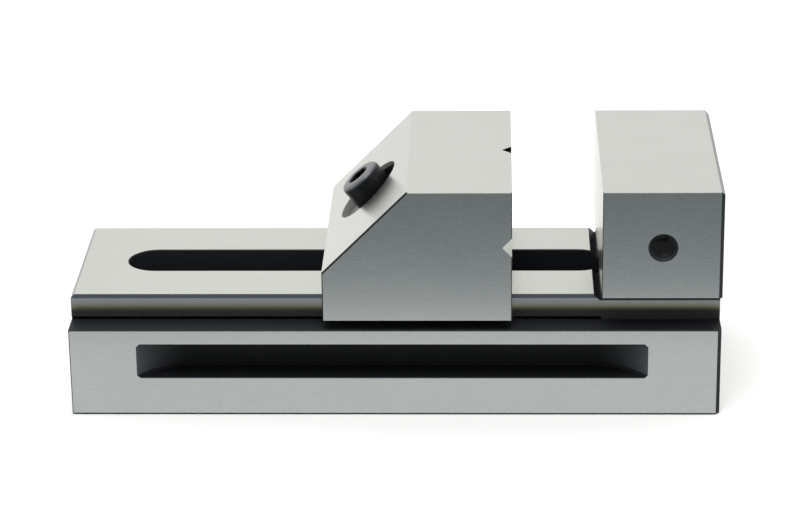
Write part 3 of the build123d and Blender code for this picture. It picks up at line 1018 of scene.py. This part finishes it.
@dataclass
class ClampScrew:
    """M8 socket head cap screw with its thread, and the ball washer under its head."""

    head_radius: float = 6.5
    head_height: float = 8.0
    head_round: float = 1.4
    head_round_steps: int = 8
    head_foot_chamfer: float = 0.25
    flats: float = 6.0
    socket_depth: float = 4.0
    socket_taper: float = 0.96
    socket_lead: float = 0.1
    socket_chamfer_width: float = 0.12
    socket_chamfer_depth: float = 0.45
    drill_tip_radius: float = 0.05
    drill_tip_depth: float = 1.4
    shank_radius: float = 4.0
    root_radius: float = 3.42
    length: float = 45.0
    neck: float = 3.0
    neck_taper: float = 0.6
    pitch: float = 1.25
    thread_steps: int = 40
    segments: int = 96
    sharp_over: float = 32.0

    def make(self) -> None:
        """Build the screw in place of its plain node, and dress the washer."""
        black = BlackOxide("black_oxide_screw", screw=True).make()
        dress("clamp_screw", black)
        loops = self._loops()
        vertices = [point for loop in loops for point in loop]
        faces = []
        count = self.segments
        for row in range(len(loops) - 1):
            for k in range(count):
                a, b = row * count + k, row * count + (k + 1) % count
                faces.append((a, b, b + count, a + count))
        faces.append(tuple(range(count)))
        faces.append(tuple(range((len(loops) - 1) * count, len(loops) * count)))
        made = mesh_object("clamp_screw_threaded", vertices, faces)
        outward(made.data)
        smooth(made.data, self.sharp_over)
        run = self.length - self.neck - self.pitch / 2
        THREAD.run(
            made,
            {"Steps": self.thread_steps, "Turns": run / self.pitch, "Finish": black},
            {
                "Radius": self.root_radius,
                "Length": run,
                "Start": self.head_height + self.neck,
                "Ridge": self.shank_radius - self.root_radius,
            },
        )
        made.data.transform(ScrewAxis().placement)
        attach(made, Body.SCREW.value)
        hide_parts("clamp_screw")
        dress("ball_washer", TurnedSteel("alloy_steel_turned").make())

    def _loop(self, radius_at: Callable[[float], float], depth: float) -> list[Vector]:
        """A loop of points in metres round the axis.

        Args:
            radius_at: The radius in millimetres at each angle.
            depth: How far down the axis it lies, in millimetres.

        Returns:
            The loop's points in order.
        """
        step = math.tau / self.segments
        rim = [(radius_at(k * step), k * step) for k in range(self.segments)]
        return [Vector((r * math.cos(a), r * math.sin(a), depth)) * MM for r, a in rim]

    def _circle(self, radius: float, depth: float) -> list[Vector]:
        """A round loop at a depth."""
        return self._loop(lambda angle: radius, depth)

    def _hexagon(self, flats: float, depth: float) -> list[Vector]:
        """A loop along a hexagon's sides at a depth, by the hexagon's width across its flats."""
        sixth = math.tau / 6
        return self._loop(lambda angle: flats / 2 / math.cos(angle % sixth - sixth / 2), depth)

    def _loops(self) -> list[list[Vector]]:
        """The screw's loops, from the bottom of its socket over the head down to its tip."""
        corner = self.flats / 2 / math.cos(math.pi / 6)
        loops = [
            self._circle(self.drill_tip_radius, self.socket_depth + self.drill_tip_depth),
            self._hexagon(self.flats * self.socket_taper, self.socket_depth),
            self._hexagon(self.flats, self.socket_depth - self.socket_lead),
            self._hexagon(self.flats, self.socket_chamfer_depth),
            self._circle(corner + self.socket_chamfer_width, 0.0),
        ]
        inner = self.head_radius - self.head_round
        for k in range(self.head_round_steps + 1):
            angle = math.pi / 2 * k / self.head_round_steps
            radius = inner + self.head_round * math.sin(angle)
            loops.append(self._circle(radius, self.head_round * (1 - math.cos(angle))))
        foot, root = self.head_height, self.root_radius
        tip = foot + self.length
        for radius, depth in (
            (self.head_radius, foot - self.head_foot_chamfer),
            (self.head_radius - self.head_foot_chamfer, foot),
            (self.shank_radius, foot),
            (self.shank_radius, foot + self.neck - self.neck_taper),
            (root, foot + self.neck),
            (root, tip - self.pitch / 2),
            (root - self.pitch / 2, tip),
        ):
            loops.append(self._circle(radius, depth))
        return loops


@dataclass
class DrawGear:
    """What the screw draws up below the rail: nut, cross pin, lock screw and lift spring."""

    coils: float = 6.0
    closed_coils: float = 1.0
    closed_pitch: float = 1.3
    seat_depth: float = 26.0
    rock_room: float = 0.7
    nut_top_depth: float = 44.9193
    wire_radius: float = 0.6
    coil_radius: float = 5.7
    steps: int = 361
    travel: float = 3.26
    pin_ring: float = 0.5
    sharp_over: float = 60.0

    def make(self) -> None:
        """Dress the nut and its pins, and wind the spring in place of its plain node."""
        dress("draw_nut", BlackOxide("black_oxide_nut").make())
        dress("lock_screw", BlackOxide("black_oxide_lock_screw").make())
        pin = TurnedSteel("dowel_steel_ground", ring=self.pin_ring).make()
        dress("cross_pin", pin)
        wire = DrawnWire("spring_steel_drawn").make()
        dress("lift_spring", wire)
        # The first coil stands clear of its seat, so that it can rock with the screw
        first = self.seat_depth + self.rock_room
        height = self.nut_top_depth - first - 2 * self.wire_radius
        open_coils = self.coils - 2 * self.closed_coils
        open_pitch = (height - 2 * self.closed_coils * self.closed_pitch) / open_coils
        made = mesh_object("lift_spring_wire")
        COIL.run(
            made,
            {
                "Steps": self.steps,
                "Coils": self.coils,
                "Closed Coils": self.closed_coils,
                "Open Coils": open_coils,
                "Finish": wire,
            },
            {
                "Closed Pitch": self.closed_pitch,
                "Open Pitch": open_pitch,
                "Start": first + self.wire_radius,
                "Radius": self.coil_radius,
                "Wire Radius": self.wire_radius,
            },
        )
        axis = ScrewAxis()
        made.data.transform(axis.placement)
        outward(made.data)
        smooth(made.data, self.sharp_over)
        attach(made, Body.SWIVEL.value)
        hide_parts("lift_spring")
        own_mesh(made)


# Studio


@dataclass(frozen=True)
class Card:
    """A flat card in front of the vise, in millimetres. Only the steel mirrors it.

    Its near and far edges are given by their Y and Z. It passes from one shade at its near
    edge to the other where Y is shade_end.
    """

    name: str
    half_width: float
    near: Span
    far: Span
    shades: tuple[str, str]
    shade_end: float


@dataclass(frozen=True)
class Lamp:
    """A soft square lamp: where it hangs and its side, in millimetres, and its watts."""

    name: str
    place: Point
    size: float
    power: float


@dataclass
class Studio:
    """A pale sweep, soft lamps, grey cards and the camera."""

    eye: Point = (28.456, -834.102, 364.0)
    pitch: float = 0.3781678
    yaw: float = -0.0334402
    roll: float = -0.0131314
    focal_pixels: float = 2983.2567
    clip: Span = (0.05, 20.0)
    floor_half: float = 4000.0
    floor_level: float = -0.02
    floor_light: str = "#fefefd"
    floor_bounce: str = "#d8d8d6"
    ambient: float = 0.96
    aim: Point = (0.0, 0.0, 30.0)
    lamps: tuple[Lamp, ...] = (
        Lamp("key", (-250, 500, 900), 900.0, 1.5),
        Lamp("fill", (-60, -560, 1250), 700.0, 6.0),
    )
    cards: tuple[Card, ...] = (
        Card("apron_card", 900, (-36.6, 0.3), (-113, 0.3), ("#e2e5ea", "#e8ebf0"), -113),
        Card("front_card", 900, (-113, 0.4), (-2500, 0.4), ("#a2a9b1", "#747b80"), -230),
        Card("front_wall", 1500, (-1400, 0), (-1400, 2200), ("#747b80", "#747b80"), -1500),
    )

    def make(self) -> None:
        """Build the floor, the cards, the world, the lamps and the camera."""
        self._floor()
        for card in self.cards:
            self._card(card)
        self._world()
        for lamp in self.lamps:
            self._lamp(lamp)
        self._camera()

    def _floor(self) -> None:
        """Lay the pale floor, which keeps the vise's shadow."""
        half = self.floor_half * MM
        level = self.floor_level * MM
        corners = [(-half, -half), (half, -half), (half, half), (-half, half)]
        floor = mesh_object("floor", [(x, y, level) for x, y in corners], [(0, 1, 2, 3)])
        paper = bpy.data.materials.new("paper_sweep")
        graph = Graph(paper)
        colour = graph.mix(graph.seen(), self.floor_bounce, self.floor_light)
        graph.close("BsdfDiffuse", {"Color": colour})
        floor.data.materials.append(paper)

    def _card(self, card: Card) -> None:
        """Stand one grey card where the camera doesn't show it."""
        sides = ((-1, card.near), (1, card.near), (1, card.far), (-1, card.far))
        corners = [Vector((way * card.half_width, *edge)) * MM for way, edge in sides]
        made = mesh_object(card.name, corners, [(0, 1, 2, 3)])
        made.visible_camera = False
        made.visible_shadow = False
        made.visible_diffuse = False
        felt = bpy.data.materials.new(card.name)
        graph = Graph(felt)
        shaded = (card.near[0] * MM, card.shade_end * MM)
        away = graph.ease(graph.part(graph.place, 1), shaded)
        graph.close("Emission", {"Color": graph.mix(away, *card.shades)})
        made.data.materials.append(felt)

    def _world(self) -> None:
        """A white surround that also lights the vise softly from all sides."""
        world = bpy.data.worlds.new("studio")
        bpy.context.scene.world = world
        graph = Graph(world)
        strength = graph.blend(graph.seen(), self.ambient, 1.0)
        graph.close("Background", {"Color": (1, 1, 1, 1), "Strength": strength}, "World")

    def _lamp(self, lamp: Lamp) -> None:
        """Hang one soft square lamp that points at the vise."""
        light = bpy.data.lights.new(lamp.name, "AREA")
        light.shape = "SQUARE"
        light.size = lamp.size * MM
        light.energy = lamp.power
        made = bpy.data.objects.new(lamp.name, light)
        bpy.context.scene.collection.objects.link(made)
        made.location = Vector(lamp.place) * MM
        aim = Vector(self.aim) * MM - made.location
        made.rotation_mode = "QUATERNION"
        made.rotation_quaternion = aim.to_track_quat("-Z", "Y")

    def _camera(self) -> None:
        """Set the camera where the photograph was taken from."""
        data = bpy.data.cameras.new("camera")
        data.sensor_width = SENSOR_WIDTH
        data.lens = self.focal_pixels * SENSOR_WIDTH / PHOTO_WIDTH
        data.clip_start, data.clip_end = self.clip
        made = bpy.data.objects.new("camera", data)
        bpy.context.scene.collection.objects.link(made)
        east, north = math.sin(self.yaw), math.cos(self.yaw)
        fore = math.cos(self.pitch)
        ahead = Vector((east * fore, north * fore, -math.sin(self.pitch)))
        level = Vector((north, -east, 0))
        up = level.cross(ahead)
        right = math.cos(self.roll) * level + math.sin(self.roll) * up
        top = -math.sin(self.roll) * level + math.cos(self.roll) * up
        turn = Matrix((right, top, -ahead)).transposed().to_4x4()
        made.matrix_world = Matrix.Translation(Vector(self.eye) * MM) @ turn
        bpy.context.scene.camera = made


def main() -> None:
    """Build the vise's looks and its studio."""
    logging.basicConfig(level=logging.INFO, format="%(name)s: %(message)s")
    bpy.context.scene.view_settings.view_transform = "Standard"
    for assembly in (Bed(), MovableJaw(), ClampScrew(), DrawGear(), Studio()):
        assembly.make()
        LOG.info("%s is done", type(assembly).__name__)


if __name__ == "__main__":
    main()
